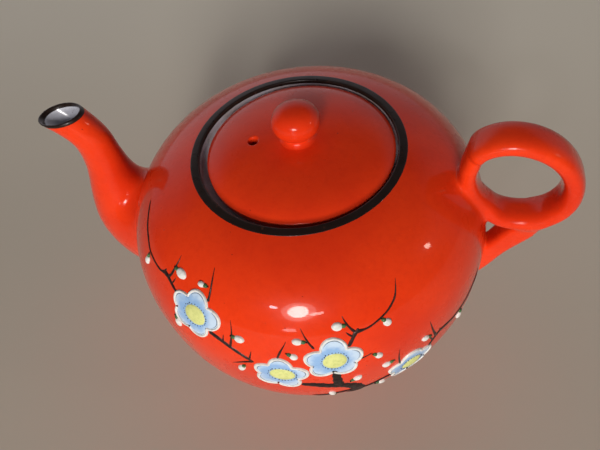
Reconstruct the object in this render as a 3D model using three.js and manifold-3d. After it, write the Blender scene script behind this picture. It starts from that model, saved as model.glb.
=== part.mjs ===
// Glazed side-poured teapot with a finger-loop handle and a drop-in lid.
// Millimetres, +Z up. The pot stands on its foot at z = 0. The spout points to -X, the
// handle to +X, and the origin is the centre of the whole object's footprint.
import * as THREE from 'three';
import { mergeVertices } from 'three/addons/utils/BufferGeometryUtils.js';
import Module from 'manifold-3d';

const wasm = await Module();
wasm.setup();

// ---- driving dimensions -------------------------------------------------------------
const AXIS_X = 4.5;            // pot axis, so that spout and handle reach equally far
const GAP = 0.3;               // luting gap left between neighbouring pieces
const SEGS = 48;               // facets round the turned pieces

const BODY_R = 75;             // greatest radius of the turned body
const EQUATOR_Z = 56.5;        // height of the greatest radius
const UPPER = { h: 55.5, n: 2.79 };   // superellipse of the shoulder
const LOWER = { h: 60.1, n: 2.08 };   // superellipse of the belly
const WALL = 4.5;              // thrown wall
const BASE_Z = 4.5;            // underside of the base
const FLOOR_Z = 10;            // inside floor

const FOOT = { rIn: 34, rOut: 38.5, h: 4.2 };
const RIM_R = 40.1;            // outer radius of the dark lip
const RIM_Z = 108.4;           // top of the lip
const GALLERY = { rIn: 31.5, wallR: 37.4, z: 103.8, t: 3.5 };   // ledge that carries the lid

// The lid's top falls by dome as a shallow bowl, then by roll close to the edge.
const LID = { r: 35.6, apex: 113.1, dome: 3.8, roll: 2.2, t: 3.5, dx: 1.0, dy: 0.2 };
const VENT = { r: 1.8, x: -16.8, y: -3.4 };
const FLANGE = { rIn: 27.6, rOut: 30.2, bottom: 95 };
const KNOB = { r: 8.8, half: 5.8, z: 120.8, neck: 5.3, neckZ: 114.7, base: 7.4 };

const STRAINER = { r: 2.5, pitch: 9, z: 53 };    // holes through the wall behind the spout

// Spout stations from its root to its mouth: the outer (belly) line and the inner
// (pot side) line in the XZ plane, and half of the width across.
const SPOUT_OUTER = [[-62, 24.5], [-83.3, 26], [-99.8, 34.1], [-108.2, 46.6], [-108.7, 59.4],
  [-105.2, 73.4], [-101.1, 85.7], [-99.2, 96], [-100.8, 105.2], [-109.7, 113.5]];
const SPOUT_INNER = [[-62, 81.5], [-69.4, 77.2], [-76.7, 75], [-80.3, 75.8], [-81.6, 79.6],
  [-82, 84.9], [-82, 91.2], [-82, 97.6], [-82.9, 105.6], [-89, 116.4]];
const SPOUT_HALF = [27, 25.3, 21, 16.6, 13.4, 10.5, 8.3, 7.2, 7, 7.3];
const SPOUT_WALL = [3.2, 1.6];                 // at the root and at the mouth

// Finger loop: an upright oval ring whose long axis leans away from the pot. It is a little
// thicker at its far end (bend), and fuller by a share (full) at the angle fullAt round it.
const LOOP = { x: 79.2, z: 100.2, long: 20.6, short: 16.9, lean: -52.2, thick: 3.4, bend: 0.6,
  half: 6.7, full: 0.04, fullAt: 178 };
// The thinner length along the pot: it eases in and out between these angles, in degrees.
const NECK = { shift: 1.7, thick: 3.2, half: 5.6, step: [193, 200], lead: [184, 214],
  end: [285, 312] };
const SOFT = { loop: 0.8, brace: 0.5 };    // how square the sections are: 1 is an ellipse
// Brace: a tapering tail from the loop's underside down to the belly.
const BRACE_LINE = [[90.3, 81.6], [87.7, 76], [83.9, 68.8], [79.6, 58.7], [76.6, 48.2],
  [72.8, 36]];
const BRACE_THICK = [3, 4.4, 4.8, 4.2, 3.5, 2.1];
const BRACE_HALF = [5.8, 5.5, 5.1, 4.7, 4.3, 3.4];

// ---- helpers ------------------------------------------------------------------------
const clay = new THREE.MeshStandardMaterial({ color: 0xb9a58c, roughness: 0.85, metalness: 0 });
const redGlaze = new THREE.MeshStandardMaterial({ color: 0xd2300f, roughness: 0.18, metalness: 0 });
const blackGlaze = new THREE.MeshStandardMaterial({ color: 0x14110f, roughness: 0.3, metalness: 0 });

function toSolid(geometry) {
  const bare = geometry.clone();
  bare.deleteAttribute('normal');
  bare.deleteAttribute('uv');
  const merged = mergeVertices(bare, 1e-4);
  return new wasm.Manifold(new wasm.Mesh({
    numProp: 3,
    vertProperties: new Float32Array(merged.attributes.position.array),
    triVerts: new Uint32Array(merged.index.array),
  }));
}

function fromSolid(solid) {
  const m = solid.getMesh();
  const g = new THREE.BufferGeometry();
  g.setAttribute('position', new THREE.BufferAttribute(new Float32Array(m.vertProperties), 3));
  g.setIndex(new THREE.BufferAttribute(new Uint32Array(m.triVerts), 1));
  g.computeVertexNormals();
  return g;
}

function turned(points, segments = SEGS) {       // lathe about +Z from [radius, height]
  const g = new THREE.LatheGeometry(points.map(([r, z]) => new THREE.Vector2(r, z)), segments);
  g.rotateX(Math.PI / 2);
  return g;
}

// Superellipse from r = r0 to r = r1 around the equator; side +1 is up, -1 is down.
function superArc(R, side, { h, n }, r0, r1, steps) {
  const a0 = Math.acos(Math.pow(r0 / R, n / 2));
  const a1 = Math.acos(Math.pow(r1 / R, n / 2));
  return Array.from({ length: steps + 1 }, (_, i) => {
    const a = a0 + (a1 - a0) * i / steps;
    return [R * Math.pow(Math.cos(a), 2 / n),
      EQUATOR_Z + side * h * Math.pow(Math.sin(a), 2 / n)];
  });
}

const radiusAt = (z, R = BODY_R, grow = 0) => {
  const s = z > EQUATOR_Z ? UPPER : LOWER;
  return (R + grow) * Math.pow(1 - Math.pow(Math.abs(z - EQUATOR_Z) / (s.h + grow), s.n), 1 / s.n);
};

// Solid of the body's outer skin grown by g, used to trim what is luted onto it.
function skinSolid(g) {
  const R = BODY_R + g;
  const up = superArc(R, 1, { h: UPPER.h + g, n: UPPER.n }, R, 0, 16);
  const down = superArc(R, -1, { h: LOWER.h + g, n: LOWER.n }, 0, R, 14);
  down[0][0] = 0;
  up[up.length - 1][0] = 0;
  return toSolid(turned([...down, ...up.slice(1)]));
}

// Closed solid through a row of equal rings of points. closed = the row is a loop.
function loft(rings, closed = false) {
  const n = rings[0].length;
  const pos = rings.flat().flatMap((p) => [p.x, p.y, p.z]);
  const idx = [];
  const rows = closed ? rings.length : rings.length - 1;
  for (let i = 0; i < rows; i++) {
    const a = i * n;
    const b = ((i + 1) % rings.length) * n;
    for (let j = 0; j < n; j++) {
      const k = (j + 1) % n;
      idx.push(a + j, a + k, b + k, a + j, b + k, b + j);
    }
  }
  if (!closed) {
    const last = (rings.length - 1) * n;
    for (let j = 1; j < n - 1; j++) idx.push(0, j + 1, j, last, last + j, last + j + 1);
  }
  const g = new THREE.BufferGeometry();
  g.setAttribute('position', new THREE.Float32BufferAttribute(pos, 3));
  g.setIndex(idx);
  return g;
}

const line3 = (pts) => new THREE.CatmullRomCurve3(pts.map(([x, z]) => new THREE.Vector3(x, 0, z)),
  false, 'centripetal');
const valueAt = (list, t) => {
  const s = t * (list.length - 1);
  const i = Math.min(Math.floor(s), list.length - 2);
  return list[i] + (list[i + 1] - list[i]) * (s - i);
};

// ---- pieces -------------------------------------------------------------------------
function bodyPiece() {
  const lip = RIM_R + GAP;
  const inR = BODY_R - WALL;
  const inUp = { h: UPPER.h - WALL, n: UPPER.n };
  const inDown = { h: EQUATOR_Z - FLOOR_Z, n: LOWER.n };
  const outer = [[0, BASE_Z],
    ...superArc(BODY_R, -1, LOWER, radiusAt(BASE_Z), BODY_R, 10),
    ...superArc(BODY_R, 1, UPPER, BODY_R, lip, 12).slice(1)];
  const inner = [...superArc(inR, 1, inUp, lip, inR, 9),
    ...superArc(inR, -1, inDown, inR, 0, 10).slice(1)];
  inner[inner.length - 1][0] = 0;
  let solid = toSolid(turned([...outer, ...inner]));
  const hole = new THREE.CylinderGeometry(STRAINER.r, STRAINER.r, 24, 12);
  hole.rotateZ(Math.PI / 2);
  const spots = [[0, 0]];
  for (let k = 0; k < 6; k++) {
    const a = k * Math.PI / 3;
    spots.push([STRAINER.pitch * Math.cos(a), STRAINER.pitch * Math.sin(a)]);
  }
  for (const [dy, dz] of spots) {
    const h = hole.clone();
    h.translate(-(BODY_R - WALL / 2), dy, STRAINER.z + dz);
    solid = solid.subtract(toSolid(h));
  }
  return fromSolid(solid);
}

function footPiece() {
  const { rIn, rOut, h } = FOOT;
  return turned([[rIn + 1.2, 0], [rOut - 1.2, 0], [rOut, 1.2], [rOut, h], [rIn, h], [rIn, 1.2],
    [rIn + 1.2, 0]]);
}

function rimPiece() {
  const { rIn, wallR, z, t } = GALLERY;
  return turned([[rIn, z - t], [RIM_R, z - t], [RIM_R, RIM_Z - 0.9], [RIM_R - 0.9, RIM_Z],
    [wallR + 0.9, RIM_Z], [wallR, RIM_Z - 0.9], [wallR, z], [rIn, z], [rIn, z - t]]);
}

function spoutRings([rootInset, mouthInset], steps, sides) {
  const outer = line3(SPOUT_OUTER);
  const inner = line3(SPOUT_INNER);
  return Array.from({ length: steps + 1 }, (_, i) => {
    const t = i / steps;
    const inset = rootInset + (mouthInset - rootInset) * t;
    const o = outer.getPoint(t);
    const n = inner.getPoint(t);
    const mid = o.clone().add(n).multiplyScalar(0.5);
    const arm = o.clone().sub(n).multiplyScalar(0.5);
    const reach = arm.length();
    arm.multiplyScalar((reach - inset) / reach);
    const half = valueAt(SPOUT_HALF, t) - inset;
    return Array.from({ length: sides }, (_, j) => {
      const a = -2 * Math.PI * j / sides;
      return mid.clone().addScaledVector(arm, Math.cos(a)).add(
        new THREE.Vector3(0, half * Math.sin(a), 0));
    });
  });
}

function spoutPiece() {
  const outer = toSolid(loft(spoutRings([0, 0], 18, 24)));
  const rings = spoutRings(SPOUT_WALL, 18, 20);
  const lastRing = rings[rings.length - 1];
  rings.push(lastRing.map((p) => p.clone().add(new THREE.Vector3(-1.5, 0, 6))));
  rings[0].forEach((p) => { p.x += 12; });
  return fromSolid(outer.subtract(toSolid(loft(rings))).subtract(skinSolid(GAP)));
}

const ease = (x, [a, b]) => {
  const t = THREE.MathUtils.clamp((x - a) / (b - a), 0, 1);
  return t * t * (3 - 2 * t);
};
const soft = (v, power) => Math.sign(v) * Math.abs(v) ** power;

function loopRings(grow, steps = 48, sides = 14) {
  const lean = THREE.MathUtils.degToRad(LOOP.lean);
  const path = (u) => {
    const off = u - THREE.MathUtils.degToRad(LOOP.fullAt);
    const full = 1 + LOOP.full * Math.exp(4 * (Math.cos(off) - 1));
    const a = full * LOOP.long * Math.cos(u);
    const b = full * LOOP.short * Math.sin(u);
    return new THREE.Vector3(LOOP.x + a * Math.cos(lean) - b * Math.sin(lean), 0,
      LOOP.z + a * Math.sin(lean) + b * Math.cos(lean));
  };
  return Array.from({ length: steps }, (_, i) => {
    const u = 2 * Math.PI * i / steps;
    const deg = 360 * i / steps;
    const along = path(u + 0.01).sub(path(u - 0.01)).normalize();
    const out = new THREE.Vector3(along.z, 0, -along.x);
    const neck = ease(deg, NECK.step) * (1 - ease(deg, NECK.end));
    const shift = NECK.shift * ease(deg, NECK.lead) * (1 - ease(deg, NECK.end));
    const p = path(u).addScaledVector(out, -shift);
    const strap = LOOP.thick + LOOP.bend * Math.max(Math.cos(u), 0) ** 2;
    const thick = strap + (NECK.thick - strap) * neck + grow;
    const half = LOOP.half + (NECK.half - LOOP.half) * neck + grow;
    return Array.from({ length: sides }, (_, j) => {
      const a = 2 * Math.PI * j / sides;
      return p.clone().addScaledVector(out, thick * soft(Math.cos(a), SOFT.loop))
        .add(new THREE.Vector3(0, half * soft(Math.sin(a), SOFT.loop), 0));
    });
  });
}

function loopPiece() {
  return fromSolid(toSolid(loft(loopRings(0), true)).subtract(skinSolid(GAP)));
}

function bracePiece() {
  const path = line3(BRACE_LINE);
  const steps = 12;
  const sides = 14;
  const rings = Array.from({ length: steps + 1 }, (_, i) => {
    const t = i / steps;
    const p = path.getPoint(t);
    const along = path.getTangent(t);
    const out = new THREE.Vector3(along.z, 0, -along.x);
    return Array.from({ length: sides }, (_, j) => {
      const a = 2 * Math.PI * j / sides;
      return p.clone().addScaledVector(out, valueAt(BRACE_THICK, t) * soft(Math.cos(a), SOFT.brace))
        .add(new THREE.Vector3(0, valueAt(BRACE_HALF, t) * soft(Math.sin(a), SOFT.brace), 0));
    });
  });
  return fromSolid(toSolid(loft(rings)).subtract(toSolid(loft(loopRings(GAP), true)))
    .subtract(holeFill()).subtract(skinSolid(GAP)));
}

// Fills the finger hole, so that the brace can't show inside it.
function holeFill() {
  const lean = THREE.MathUtils.degToRad(LOOP.lean);
  const g = new THREE.CylinderGeometry(1, 1, 30, 32);
  g.scale(LOOP.long, 1, LOOP.short);
  g.rotateY(-lean);
  g.translate(LOOP.x, 0, LOOP.z);
  return toSolid(g);
}

const lidTop = (q) => LID.apex - LID.dome * (q / LID.r) ** 2 - LID.roll * (q / LID.r) ** 9;

function lidProfile() {
  const { r, apex, t } = LID;
  const under = GALLERY.z + GAP;
  const hollowR = 27.2;
  const top = [r - 0.8, r * 0.93, r * 0.86, r * 0.75, r * 0.5, r * 0.25];
  return [[0, apex - t], [hollowR * 0.6, lidTop(hollowR * 0.6) - t],
    [hollowR, under], [r - 0.6, under], [r, under + 0.6], [r, lidTop(r) - 0.6],
    ...top.map((q) => [q, lidTop(q)]), [0, apex]];
}

function lidPiece() {
  const vent = new THREE.CylinderGeometry(VENT.r, VENT.r, 20, 16);
  vent.rotateX(Math.PI / 2);
  vent.translate(VENT.x, VENT.y, LID.apex - 2);
  return fromSolid(toSolid(turned(lidProfile())).subtract(toSolid(vent)));
}

function flangePiece() {
  const { rIn, rOut, bottom } = FLANGE;
  const top = GALLERY.z;
  return turned([[rIn, bottom + 0.8], [rIn + 0.8, bottom], [rOut - 0.8, bottom],
    [rOut, bottom + 0.8], [rOut, top], [rIn, top], [rIn, bottom + 0.8]]);
}

function knobPiece() {
  const { r, half, z, neck, neckZ, base } = KNOB;
  const start = Math.asin(neck / r);
  const ball = Array.from({ length: 11 }, (_, i) => {
    const a = start + (Math.PI - start) * i / 10;
    return [r * Math.sin(a), z - half * Math.cos(a)];
  });
  ball[10][0] = 0;
  const foot = LID.apex + GAP;
  return turned([[0, foot], [base, foot], [base - 0.9, foot + 0.4], [neck, neckZ], ...ball], 32);
}

// ---- assembly -----------------------------------------------------------------------
function piece(name, geometry, material, parent) {
  const mesh = new THREE.Mesh(geometry, material);
  mesh.name = name;
  parent.add(mesh);
  return mesh;
}

const teapot = new THREE.Group();
const pot = new THREE.Group();
pot.position.x = AXIS_X;
teapot.add(pot);
piece('pot_body', bodyPiece(), redGlaze, pot);
piece('foot_ring', footPiece(), clay, pot);
piece('mouth_ring', rimPiece(), blackGlaze, pot);
piece('spout', spoutPiece(), redGlaze, pot);
piece('handle_loop', loopPiece(), redGlaze, pot);
piece('handle_brace', bracePiece(), redGlaze, pot);

const lid = new THREE.Group();
lid.position.set(LID.dx, LID.dy, 0);
pot.add(lid);
piece('lid_plate', lidPiece(), redGlaze, lid);
piece('lid_flange', flangePiece(), clay, lid);
piece('lid_knob', knobPiece(), redGlaze, lid);

export default teapot;
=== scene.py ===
"""Looks for the red glazed teapot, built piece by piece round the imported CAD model.

Sizes are in millimetres in the pot's own frame: Z up from the table, the pot's axis at
x = 0, the spout towards -X and the handle towards +X. place() turns them into metres in the
CAD model's frame.
"""
import math

import bmesh
import bpy
import numpy as np
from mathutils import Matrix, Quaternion, Vector


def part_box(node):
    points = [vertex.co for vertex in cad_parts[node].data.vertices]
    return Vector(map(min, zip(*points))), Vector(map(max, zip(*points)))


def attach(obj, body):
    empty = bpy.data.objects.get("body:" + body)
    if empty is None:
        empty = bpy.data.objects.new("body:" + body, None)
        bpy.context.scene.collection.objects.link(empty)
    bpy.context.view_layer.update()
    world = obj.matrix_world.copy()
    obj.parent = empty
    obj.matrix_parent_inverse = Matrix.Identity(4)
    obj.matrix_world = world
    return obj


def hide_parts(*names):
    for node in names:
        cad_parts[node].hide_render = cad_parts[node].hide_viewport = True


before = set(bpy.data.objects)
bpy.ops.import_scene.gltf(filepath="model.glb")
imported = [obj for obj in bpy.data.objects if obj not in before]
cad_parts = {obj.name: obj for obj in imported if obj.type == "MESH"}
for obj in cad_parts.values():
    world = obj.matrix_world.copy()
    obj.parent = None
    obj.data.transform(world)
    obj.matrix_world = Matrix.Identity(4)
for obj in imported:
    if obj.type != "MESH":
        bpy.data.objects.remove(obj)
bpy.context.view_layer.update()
AXIS = sum(c.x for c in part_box("foot_ring")) / 2      # where the pot's axis is, in metres

# ---- sizes, the same as the CAD's ------------------------------------------------------
BODY_R, EQUATOR = 75.0, 56.5
UPPER, LOWER = (55.5, 2.79), (60.1, 2.08)             # (height, exponent) of each half
WALL, BASE, FLOOR = 4.5, 4.5, 10.0                    # wall, underside's height, inner floor
BASE_R = 39.3                                         # where the belly meets the foot
RIM_R, GALLERY_R, LEDGE_R, LEDGE_Z = 40.1, 37.4, 31.5, 103.8
STRAINER = dict(x=-84, z=53, ring=9, hole=2.5, length=26)    # one hole and six round it
LID_SHIFT = np.array([1.0, 0.2, 0.0])                 # the lid sits a little off the axis
LID_R, LID_TOP, DOME, ROLL = 35.6, 113.1, 3.8, 2.2    # the top falls by DOME, then by ROLL
VENT = (-16.8, -3.4, 1.8)                             # x, y from the lid's middle, radius
KNOB = [(9.6, 112.55), (7.6, 112.8), (6.2, 113.3), (5.4, 114.1), (5.3, 114.9), (6.0, 115.7),
        (7.3, 116.8), (8.4, 118.3), (8.85, 120.2), (8.6, 122.1), (7.7, 123.9), (6.1, 125.3),
        (4.1, 126.15), (2, 126.5), (0, 126.6)]

# Spout stations from root to just past the mouth: outer line, inner line, half width.
SPOUT_OUT = [(-62, 24.5), (-83.3, 26), (-99.8, 34.1), (-108.2, 46.6), (-108.7, 59.4), (-105.2, 73.4),
             (-101.1, 85.7), (-99.2, 96), (-100.8, 105.2), (-109.7, 113.5), (-121.2, 120.6)]
SPOUT_IN = [(-62, 81.5), (-69.4, 77.2), (-76.7, 75), (-80.3, 75.8), (-81.6, 79.6), (-82, 84.9),
            (-82, 91.2), (-82, 97.6), (-82.9, 105.6), (-89, 116.4), (-98.4, 124.9)]
SPOUT_HALF = [27, 25.3, 21, 16.6, 13.4, 10.5, 8.3, 7.2, 7, 7.3, 7.7]
FILLET = 13                                           # width of the fillet at its root
MOUTH = 0.9                                           # where along the stations the mouth is
MOUTH_RISE = 92                                       # height gained there per unit of station
SPOUT_WALL, THICKENING = 1.15, 2.1                    # wall at the mouth, gain towards the root
BORE_END = 0.16                                       # the station where the bore meets the pot

# The finger loop: fuller by a share at one angle round it, in degrees.
LOOP = dict(x=79.2, z=100.2, long=20.6, short=16.9, lean=-52.2, thick=3.4, bend=0.6, half=6.7,
            full=0.04, full_at=178)
# The thinner length along the pot, which eases in and out between these angles.
NECK = dict(shift=1.7, thick=3.2, half=5.6, step=(193, 200), lead=(184, 214), end=(285, 312))
BRACE = [(90.3, 81.6), (87.7, 76), (83.9, 68.8), (79.6, 58.7), (76.6, 48.2), (72.8, 36)]
BRACE_THICK = [2.4, 4.4, 4.8, 4.2, 3.5, 2.1]
BRACE_HALF = [5.8, 5.5, 5.1, 4.7, 4.3, 3.4]
LOOP_SQUARE, BRACE_SQUARE = 2.5, 4.0                  # exponents of the sections; 2 is oval
BRACE_FILLET, HANDLE_FILLET = 3.5, 4.5                # brace to loop, handle to pot

PETAL = 4.8                                           # half length of a painted petal
STAMENS = 26                                          # dots round each flower's heart

CELL = 0.9                     # cell of the skins that are grown
PROUD = 0.012                                         # a skin ends when it is no prouder


# ---- curves ------------------------------------------------------------------------------
def spline(values, t):
    """Natural cubic spline through equally spaced values, at t from 0 to 1."""
    v = np.asarray(values, float)
    v = v[:, None] if v.ndim == 1 else v
    n = len(v)
    a = np.eye(n)
    rhs = np.zeros_like(v)
    for i in range(1, n - 1):
        a[i, i - 1:i + 2] = (1, 4, 1)
        rhs[i] = 6 * (v[i - 1] - 2 * v[i] + v[i + 1])
    m = np.linalg.solve(a, rhs)
    s = np.clip(np.asarray(t, float), 0, 1) * (n - 1)
    i = np.minimum(s.astype(int), n - 2)
    f = (s - i)[..., None]
    g = 1 - f
    out = g * v[i] + f * v[i + 1] + ((g ** 3 - g) * m[i] + (f ** 3 - f) * m[i + 1]) / 6
    return out[..., 0] if np.ndim(values[0]) == 0 else out


def rounded(corners, steps=6):
    """Outline from (radius, height, fillet) corners, open at both ends."""
    out = [corners[0][:2]]
    for a, c, b in zip(corners, corners[1:], corners[2:]):
        p, q, r = (np.array(k[:2], float) for k in (a, c, b))
        u, w = (p - q) / np.linalg.norm(p - q), (r - q) / np.linalg.norm(r - q)
        d = min(c[2], 0.49 * np.linalg.norm(p - q), 0.49 * np.linalg.norm(r - q))
        for t in (np.linspace(0, 1, steps) if d > 0 else [0.5]):
            out.append(tuple((1 - t) ** 2 * (q + u * d) + 2 * t * (1 - t) * q + t * t * (q + w * d)))
    return out + [corners[-1][:2]]


def super_arc(radius, side, half, r0, r1, steps):
    """Superellipse from r0 to r1 round the equator; side is +1 above it, -1 below."""
    h, n = half
    a = np.linspace(*(math.acos(min(1, r / radius) ** (n / 2)) for r in (r0, r1)), steps + 1)
    c, s = np.clip(np.cos(a), 0, 1), np.clip(np.sin(a), 0, 1)
    return list(zip(radius * c ** (2 / n), EQUATOR + side * h * s ** (2 / n)))


def meridian():
    """Arc length from the equator, radius and height along the pot's outer outline."""
    down = super_arc(BODY_R, -1, LOWER, 0, BODY_R, 900)
    up = super_arc(BODY_R, 1, UPPER, BODY_R, 0, 900)
    p = np.array(down + up[1:])
    s = np.r_[0, np.cumsum(np.hypot(*np.diff(p, axis=0).T))]
    return s - s[len(down) - 1], p[:, 0], p[:, 1]


ARC, ARC_R, ARC_Z = meridian()


def on_pot(az, s, lift=0.0):
    """Points on the pot's outside: azimuth in degrees, arc length above the equator, lift."""
    az, s, e = np.radians(az), np.asarray(s, float), 0.3
    r, z = np.interp(s, ARC, ARC_R), np.interp(s, ARC, ARC_Z)
    dr = np.interp(s + e, ARC, ARC_R) - np.interp(s - e, ARC, ARC_R)
    dz = np.interp(s + e, ARC, ARC_Z) - np.interp(s - e, ARC, ARC_Z)
    size = np.hypot(dr, dz)
    r, z = r + lift * dz / size, z - lift * dr / size
    return np.stack([r * np.cos(az), r * np.sin(az), z], -1)


# ---- meshes ------------------------------------------------------------------------------
def place(verts):
    """From millimetres round the pot's axis to metres in the CAD model's frame."""
    return np.asarray(verts, float) / 1000 + (AXIS, 0, 0)


def grid_faces(rows, cols, wrap_rows=False, wrap_cols=False, start=0):
    """Quads between rows of points, closed on themselves where they wrap."""
    i, j = np.meshgrid(np.arange(rows if wrap_rows else rows - 1),
                       np.arange(cols if wrap_cols else cols - 1), indexing="ij")
    i2, j2 = (i + 1) % rows, (j + 1) % cols
    quad = np.stack([i * cols + j, i2 * cols + j, i2 * cols + j2, i * cols + j2], -1)
    return quad.reshape(-1, 4) + start


def make(name, verts, faces, materials, index=None, normals=None):
    mesh = bpy.data.meshes.new(name)
    mesh.from_pydata(place(verts).tolist(), [], [[int(k) for k in f] for f in faces])
    for m in materials:
        mesh.materials.append(m)
    if index is not None:
        mesh.polygons.foreach_set("material_index", np.asarray(index, np.int32))
    mesh.polygons.foreach_set("use_smooth", [True] * len(mesh.polygons))
    mesh.update()
    if normals is not None:
        mesh.normals_split_custom_set_from_vertices(np.asarray(normals).tolist())
    obj = bpy.data.objects.new(name, mesh)
    bpy.context.scene.collection.objects.link(obj)
    return obj


def tidy(obj, sharp=None):
    """Merges the points on the axis, turns the faces outward and marks sharp edges."""
    bm = bmesh.new()
    bm.from_mesh(obj.data)
    bmesh.ops.remove_doubles(bm, verts=bm.verts, dist=1e-7)
    bmesh.ops.recalc_face_normals(bm, faces=bm.faces)
    bm.to_mesh(obj.data)
    bm.free()
    if sharp:
        obj.data.set_sharp_from_angle(angle=math.radians(sharp))
    return obj


def turned(name, outline, materials, index=None, segs=192, shift=(0, 0, 0), sharp=None):
    """Closed turned solid; index gives each outline step's material."""
    p = np.array(outline)
    a = np.linspace(0, 2 * math.pi, segs, endpoint=False)
    verts = np.stack([np.outer(np.cos(a), p[:, 0]), np.outer(np.sin(a), p[:, 0]),
                      np.tile(p[:, 1], (segs, 1))], -1) + shift
    faces = grid_faces(segs, len(p), True, True)
    slots = None if index is None else np.tile(np.resize(index, len(p)), segs)
    return tidy(make(name, verts.reshape(-1, 3), faces, materials, slots), sharp)


def cut(obj, cutter):
    """Takes the cutter's shape out of obj and throws the cutter away."""
    mod = obj.modifiers.new("cut", "BOOLEAN")
    mod.operation, mod.object, mod.solver = "DIFFERENCE", cutter, "EXACT"
    graph = bpy.context.evaluated_depsgraph_get()
    mesh = bpy.data.meshes.new_from_object(obj.evaluated_get(graph))
    obj.modifiers.clear()
    obj.data = mesh
    bpy.data.objects.remove(cutter)


def finish_piece(obj, body, slot, *nodes):
    """Says which body the piece rides on and hides the CAD nodes it stands for; slot is not used."""
    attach(obj, body)
    if nodes:
        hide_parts(*nodes)


# ---- grown skins: what is luted onto the pot ----------------------------------------------
def field_body(p):
    """Distance to the pot's outside, negative within."""
    up = p[:, 2] > EQUATOR
    h, n = np.where(up, UPPER[0], LOWER[0]), np.where(up, UPPER[1], LOWER[1])
    a = np.maximum(np.hypot(p[:, 0], p[:, 1]) / BODY_R, 1e-6)
    b = np.maximum(np.abs(p[:, 2] - EQUATOR) / h, 1e-6)
    s = a ** n + b ** n
    slope = s ** (1 / n - 1) * np.hypot(a ** (n - 1) / BODY_R, b ** (n - 1) / h)
    return (s ** (1 / n) - 1) / slope


def section(a, b, ra, rb, n=2.0, c=0.0):
    """Distance to a superelliptic section; c is how far past the path's end a point is."""
    a, b, c = (np.maximum(np.abs(k), 1e-6) for k in (a, b, c))
    s = (a / ra) ** n + (b / rb) ** n + (c / ra) ** n
    slope = s ** (1 / n - 1) * np.sqrt(((a / ra) ** (n - 1) / ra) ** 2
                                       + ((b / rb) ** (n - 1) / rb) ** 2
                                       + ((c / ra) ** (n - 1) / ra) ** 2)
    return (s ** (1 / n) - 1) / slope


def spout_frame(t):
    """Middle, direction across, half depth and half width of the stations t."""
    o, i = spline(SPOUT_OUT, t), spline(SPOUT_IN, t)
    arm = (o - i) / 2
    reach = np.linalg.norm(arm, axis=-1)
    return (o + i) / 2, arm / reach[..., None], reach, spline(SPOUT_HALF, t)


def across(arm, d):
    """How far d reaches past the plane that arm lies in."""
    return arm[..., 0] * d[..., 1] - arm[..., 1] * d[..., 0]


def field_spout(p):
    """Each point is measured in the station plane that it lies in."""
    xz = p[:, [0, 2]]

    def side(t):
        mid, arm, _, _ = spout_frame(t)
        return across(arm, xz - mid)

    ts = np.linspace(0, 1, 161)
    mid, arm, _, _ = spout_frame(ts)
    d = xz[:, None] - mid
    s = across(arm, d)
    far = np.abs((d * arm).sum(-1))
    flip = (s[:, :-1] > 0) != (s[:, 1:] > 0)
    k = np.argmin(np.where(flip, far[:, :-1], np.inf), 1)
    rows = np.arange(len(p))
    found = flip[rows, k]
    s0, s1 = s[rows, k], s[rows, k + 1]
    t = np.where(found, ts[k] + (ts[1] - ts[0]) * s0 / np.where(found, s0 - s1, 1), 0)
    end = np.where(np.abs(s[:, 0]) < np.abs(s[:, -1]), 0.0, 1.0)
    t = np.where(found, t, end)
    e = 1e-4
    for _ in range(2):
        lo, hi = np.clip(t - e, 0, 1), np.clip(t + e, 0, 1)
        slope = (side(hi) - side(lo)) / (hi - lo)
        t = np.where(found, np.clip(t - side(t) / slope, 0, 1), t)
    mid, arm, reach, half = spout_frame(t)
    return section(((xz - mid) * arm).sum(-1), p[:, 1], reach, half)


def ease(x, span):
    """Smooth step from 0 to 1 over the span."""
    t = np.clip((x - span[0]) / (span[1] - span[0]), 0, 1)
    return t * t * (3 - 2 * t)


def loop_path(u):
    """Middle line of the finger loop at the angles u."""
    lean = math.radians(LOOP["lean"])
    off = u - math.radians(LOOP["full_at"])
    full = 1 + LOOP["full"] * np.exp(4 * (np.cos(off) - 1))
    a, b = full * LOOP["long"] * np.cos(u), full * LOOP["short"] * np.sin(u)
    return np.stack([LOOP["x"] + a * math.cos(lean) - b * math.sin(lean),
                     LOOP["z"] + a * math.sin(lean) + b * math.cos(lean)], -1)


def field_loop(p):
    """Each point is measured in the section nearest to it."""
    xz = p[:, [0, 2]]
    us = np.linspace(0, 2 * math.pi, 181)[:-1]
    u = us[np.argmin(((xz[:, None] - loop_path(us)) ** 2).sum(-1), 1)]
    e = 1e-3
    for _ in range(3):
        c = loop_path(u)
        c1 = (loop_path(u + e) - loop_path(u - e)) / (2 * e)
        c2 = (loop_path(u + e) - 2 * c + loop_path(u - e)) / e ** 2
        u = u - ((c - xz) * c1).sum(-1) / ((c1 * c1).sum(-1) + ((c - xz) * c2).sum(-1))
    along = (loop_path(u + e) - loop_path(u - e)) / (2 * e)
    along /= np.linalg.norm(along, axis=-1)[:, None]
    a = ((xz - loop_path(u)) * np.stack([along[:, 1], -along[:, 0]], -1)).sum(-1)
    deg = np.degrees(u) % 360
    left = 1 - ease(deg, NECK["end"])
    neck = ease(deg, NECK["step"]) * left
    shift = NECK["shift"] * ease(deg, NECK["lead"]) * left
    thick = LOOP["thick"] + LOOP["bend"] * np.maximum(np.cos(u), 0) ** 2
    thick = thick + (NECK["thick"] - thick) * neck
    half = LOOP["half"] + (NECK["half"] - LOOP["half"]) * neck
    return section(a + shift, p[:, 1], thick, half, LOOP_SQUARE)


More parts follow.
